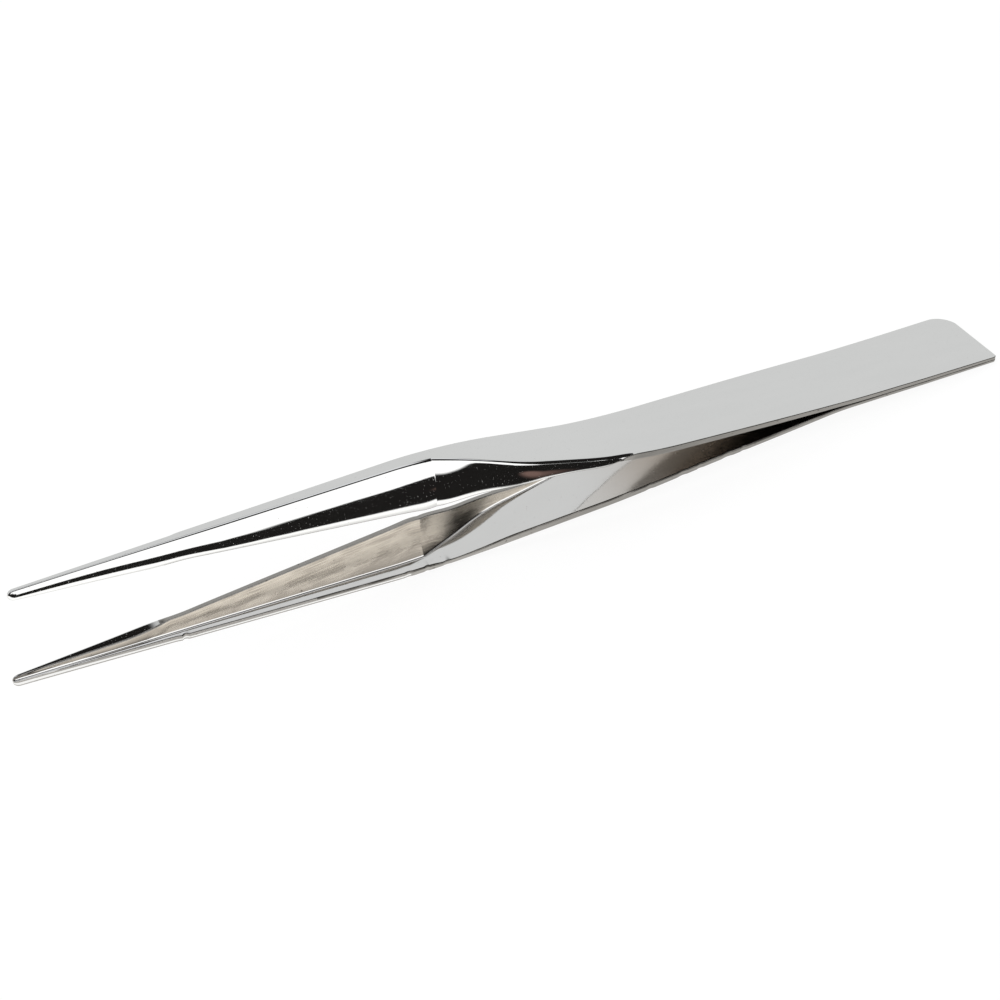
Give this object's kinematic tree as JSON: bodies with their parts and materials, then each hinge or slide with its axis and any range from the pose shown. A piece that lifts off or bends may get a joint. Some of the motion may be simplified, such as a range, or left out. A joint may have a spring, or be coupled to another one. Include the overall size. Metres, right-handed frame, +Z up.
{
  "type": "precision tweezers",
  "caption": "Straight precision tweezers with folded sheet-metal arms, long slender ground tips and flat spring leaves joined at the butt, for gripping small delicate parts.",
  "frame": {"origin": "on the plane the tool rests on, below the middle of its bounding box", "axes": "+X along the tool from the tips towards the butt, +Z up out of the resting plane, +Y to the upper arm's unfolded edge, and the arms open and close along Z"},
  "size_m": [0.15, 0.0125, 0.0229],
  "materials": {
    "nickel_plate": "bright nickel plate over spring steel, mirror smooth, with ground tips and edges"
  },
  "bodies": {
    "root": {"upper_arm": "nickel_plate", "lower_arm": "nickel_plate"}
  },
  "joints": []
}
